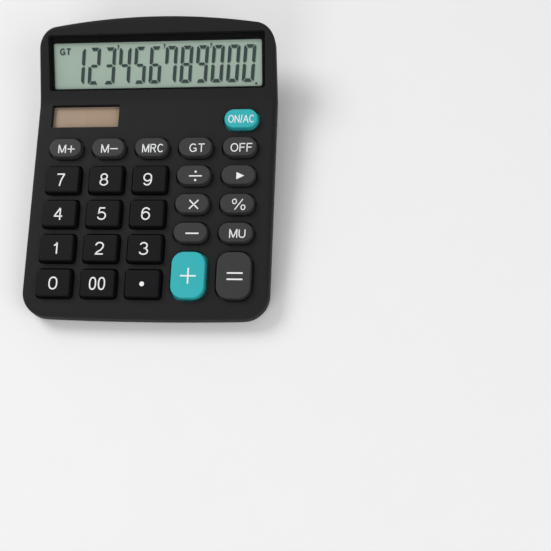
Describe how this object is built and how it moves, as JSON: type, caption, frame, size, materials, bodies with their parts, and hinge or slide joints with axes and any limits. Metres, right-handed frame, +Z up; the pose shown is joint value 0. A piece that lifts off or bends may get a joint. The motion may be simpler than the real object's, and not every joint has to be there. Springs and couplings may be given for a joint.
{
  "type": "desk calculator",
  "caption": "Slim wedge-shaped dual-power calculator with a tilted display hood, sprung rubber-dome keys and a hinged cover over its button cell.",
  "frame": {"origin": "centre of the footprint, on the surface that the feet stand on", "axes": "+X to the right of someone using it, +Y away from them towards the display, +Z up"},
  "size_m": [0.12, 0.147, 0.0368],
  "materials": {
    "front_shell": "fine satin moulded texture",
    "rear_shell": "fine matt moulded texture",
    "window": "clear moulded acrylic",
    "lcd_glass": "polished glass with polariser",
    "reflector": "silvered film",
    "white_plastic": "plain moulded",
    "film": "polyimide film",
    "board": "solder mask",
    "carbon": "printed carbon ink",
    "epoxy": "domed epoxy",
    "component": "lacquered component",
    "solar": "amorphous silicon on glass",
    "wire": "insulated wire",
    "steel": "drawn steel can",
    "contact_metal": "nickel-plated spring strip",
    "silicone": "soft silicone rubber",
    "foot_rubber": "matt rubber",
    "screw_steel": "zinc-plated steel",
    "brass": "turned brass",
    "number_key": "satin moulded key",
    "grey_key": "satin moulded key",
    "teal_key": "satin moulded key"
  },
  "bodies": {
    "casing": {"front_cover": "front_shell", "rear_cover": "rear_shell", "display_window": "window", "solar_window": "window", "lcd_front_glass": "lcd_glass", "lcd_rear_glass": "lcd_glass", "lcd_reflector": "reflector", "lcd_retainer": "white_plastic", "lcd_ribbon": "film", "main_board": "board", "contact_pads": "carbon", "controller_chip": "epoxy", "capacitor": "component", "diode": "component", "solar_cell": "solar", "solar_wires": "wire", "battery_wires": "wire", "button_cell": "steel", "positive_contact": "contact_metal", "negative_contact": "contact_metal", "keypad_mat": "silicone", "rubber_feet": "foot_rubber", "case_screw": "screw_steel", "screw_insert": "brass"},
    "door": {"battery_door": "rear_shell"},
    "key_0_body": {"key_0": "number_key"},
    "key_00_body": {"key_00": "number_key"},
    "key_point_body": {"key_point": "number_key"},
    "key_1_body": {"key_1": "number_key"},
    "key_2_body": {"key_2": "number_key"},
    "key_3_body": {"key_3": "number_key"},
    "key_4_body": {"key_4": "number_key"},
    "key_5_body": {"key_5": "number_key"},
    "key_6_body": {"key_6": "number_key"},
    "key_7_body": {"key_7": "number_key"},
    "key_8_body": {"key_8": "number_key"},
    "key_9_body": {"key_9": "number_key"},
    "key_minus_body": {"key_minus": "grey_key"},
    "key_mu_body": {"key_mu": "grey_key"},
    "key_multiply_body": {"key_multiply": "grey_key"},
    "key_percent_body": {"key_percent": "grey_key"},
    "key_divide_body": {"key_divide": "grey_key"},
    "key_back_body": {"key_back": "grey_key"},
    "key_m_plus_body": {"key_m_plus": "grey_key"},
    "key_m_minus_body": {"key_m_minus": "grey_key"},
    "key_mrc_body": {"key_mrc": "grey_key"},
    "key_gt_body": {"key_gt": "grey_key"},
    "key_off_body": {"key_off": "grey_key"},
    "key_on_ac_body": {"key_on_ac": "teal_key"},
    "key_plus_body": {"key_plus": "teal_key"},
    "key_equals_body": {"key_equals": "grey_key"}
  },
  "joints": [
    {"name": "press_0", "type": "slide", "parent": "casing", "child": "key_0_body", "axis": [0, 0.0872, -0.9962], "range_m": [0, 0.0012], "stiffness_N_per_m": 450, "springref_m": -0.0001, "deforming": ["keypad_mat"]},
    {"name": "press_00", "type": "slide", "parent": "casing", "child": "key_00_body", "axis": [0, 0.0872, -0.9962], "range_m": [0, 0.0012], "stiffness_N_per_m": 450, "springref_m": -0.0001, "deforming": ["keypad_mat"]},
    {"name": "press_point", "type": "slide", "parent": "casing", "child": "key_point_body", "axis": [0, 0.0872, -0.9962], "range_m": [0, 0.0012], "stiffness_N_per_m": 450, "springref_m": -0.0001, "deforming": ["keypad_mat"]},
    {"name": "press_1", "type": "slide", "parent": "casing", "child": "key_1_body", "axis": [0, 0.0872, -0.9962], "range_m": [0, 0.0012], "stiffness_N_per_m": 450, "springref_m": -0.0001, "deforming": ["keypad_mat"]},
    {"name": "press_2", "type": "slide", "parent": "casing", "child": "key_2_body", "axis": [0, 0.0872, -0.9962], "range_m": [0, 0.0012], "stiffness_N_per_m": 450, "springref_m": -0.0001, "deforming": ["keypad_mat"]},
    {"name": "press_3", "type": "slide", "parent": "casing", "child": "key_3_body", "axis": [0, 0.0872, -0.9962], "range_m": [0, 0.0012], "stiffness_N_per_m": 450, "springref_m": -0.0001, "deforming": ["keypad_mat"]},
    {"name": "press_4", "type": "slide", "parent": "casing", "child": "key_4_body", "axis": [0, 0.0872, -0.9962], "range_m": [0, 0.0012], "stiffness_N_per_m": 450, "springref_m": -0.0001, "deforming": ["keypad_mat"]},
    {"name": "press_5", "type": "slide", "parent": "casing", "child": "key_5_body", "axis": [0, 0.0872, -0.9962], "range_m": [0, 0.0012], "stiffness_N_per_m": 450, "springref_m": -0.0001, "deforming": ["keypad_mat"]},
    {"name": "press_6", "type": "slide", "parent": "casing", "child": "key_6_body", "axis": [0, 0.0872, -0.9962], "range_m": [0, 0.0012], "stiffness_N_per_m": 450, "springref_m": -0.0001, "deforming": ["keypad_mat"]},
    {"name": "press_7", "type": "slide", "parent": "casing", "child": "key_7_body", "axis": [0, 0.0872, -0.9962], "range_m": [0, 0.0012], "stiffness_N_per_m": 450, "springref_m": -0.0001, "deforming": ["keypad_mat"]},
    {"name": "press_8", "type": "slide", "parent": "casing", "child": "key_8_body", "axis": [0, 0.0872, -0.9962], "range_m": [0, 0.0012], "stiffness_N_per_m": 450, "springref_m": -0.0001, "deforming": ["keypad_mat"]},
    {"name": "press_9", "type": "slide", "parent": "casing", "child": "key_9_body", "axis": [0, 0.0872, -0.9962], "range_m": [0, 0.0012], "stiffness_N_per_m": 450, "springref_m": -0.0001, "deforming": ["keypad_mat"]},
    {"name": "press_minus", "type": "slide", "parent": "casing", "child": "key_minus_body", "axis": [0, 0.0872, -0.9962], "range_m": [0, 0.0012], "stiffness_N_per_m": 450, "springref_m": -0.0001, "deforming": ["keypad_mat"]},
    {"name": "press_mu", "type": "slide", "parent": "casing", "child": "key_mu_body", "axis": [0, 0.0872, -0.9962], "range_m": [0, 0.0012], "stiffness_N_per_m": 450, "springref_m": -0.0001, "deforming": ["keypad_mat"]},
    {"name": "press_multiply", "type": "slide", "parent": "casing", "child": "key_multiply_body", "axis": [0, 0.0872, -0.9962], "range_m": [0, 0.0012], "stiffness_N_per_m": 450, "springref_m": -0.0001, "deforming": ["keypad_mat"]},
    {"name": "press_percent", "type": "slide", "parent": "casing", "child": "key_percent_body", "axis": [0, 0.0872, -0.9962], "range_m": [0, 0.0012], "stiffness_N_per_m": 450, "springref_m": -0.0001, "deforming": ["keypad_mat"]},
    {"name": "press_divide", "type": "slide", "parent": "casing", "child": "key_divide_body", "axis": [0, 0.0872, -0.9962], "range_m": [0, 0.0012], "stiffness_N_per_m": 450, "springref_m": -0.0001, "deforming": ["keypad_mat"]},
    {"name": "press_back", "type": "slide", "parent": "casing", "child": "key_back_body", "axis": [0, 0.0872, -0.9962], "range_m": [0, 0.0012], "stiffness_N_per_m": 450, "springref_m": -0.0001, "deforming": ["keypad_mat"]},
    {"name": "press_m_plus", "type": "slide", "parent": "casing", "child": "key_m_plus_body", "axis": [0, 0.0872, -0.9962], "range_m": [0, 0.0012], "stiffness_N_per_m": 450, "springref_m": -0.0001, "deforming": ["keypad_mat"]},
    {"name": "press_m_minus", "type": "slide", "parent": "casing", "child": "key_m_minus_body", "axis": [0, 0.0872, -0.9962], "range_m": [0, 0.0012], "stiffness_N_per_m": 450, "springref_m": -0.0001, "deforming": ["keypad_mat"]},
    {"name": "press_mrc", "type": "slide", "parent": "casing", "child": "key_mrc_body", "axis": [0, 0.0872, -0.9962], "range_m": [0, 0.0012], "stiffness_N_per_m": 450, "springref_m": -0.0001, "deforming": ["keypad_mat"]},
    {"name": "press_gt", "type": "slide", "parent": "casing", "child": "key_gt_body", "axis": [0, 0.0872, -0.9962], "range_m": [0, 0.0012], "stiffness_N_per_m": 450, "springref_m": -0.0001, "deforming": ["keypad_mat"]},
    {"name": "press_off", "type": "slide", "parent": "casing", "child": "key_off_body", "axis": [0, 0.0872, -0.9962], "range_m": [0, 0.0012], "stiffness_N_per_m": 450, "springref_m": -0.0001, "deforming": ["keypad_mat"]},
    {"name": "press_on_ac", "type": "slide", "parent": "casing", "child": "key_on_ac_body", "axis": [0, 0.0872, -0.9962], "range_m": [0, 0.0012], "stiffness_N_per_m": 450, "springref_m": -0.0001, "deforming": ["keypad_mat"]},
    {"name": "press_plus", "type": "slide", "parent": "casing", "child": "key_plus_body", "axis": [0, 0.0872, -0.9962], "range_m": [0, 0.0012], "stiffness_N_per_m": 450, "springref_m": -0.0001, "deforming": ["keypad_mat"]},
    {"name": "press_equals", "type": "slide", "parent": "casing", "child": "key_equals_body", "axis": [0, 0.0872, -0.9962], "range_m": [0, 0.0012], "stiffness_N_per_m": 450, "springref_m": -0.0001, "deforming": ["keypad_mat"]},
    {"name": "door_hinge", "type": "hinge", "parent": "casing", "child": "door", "pos_m": [-0.0401, -0.00985, 0.00165], "axis": [-1, 0, 0], "range_deg": [0, 70]}
  ]
}
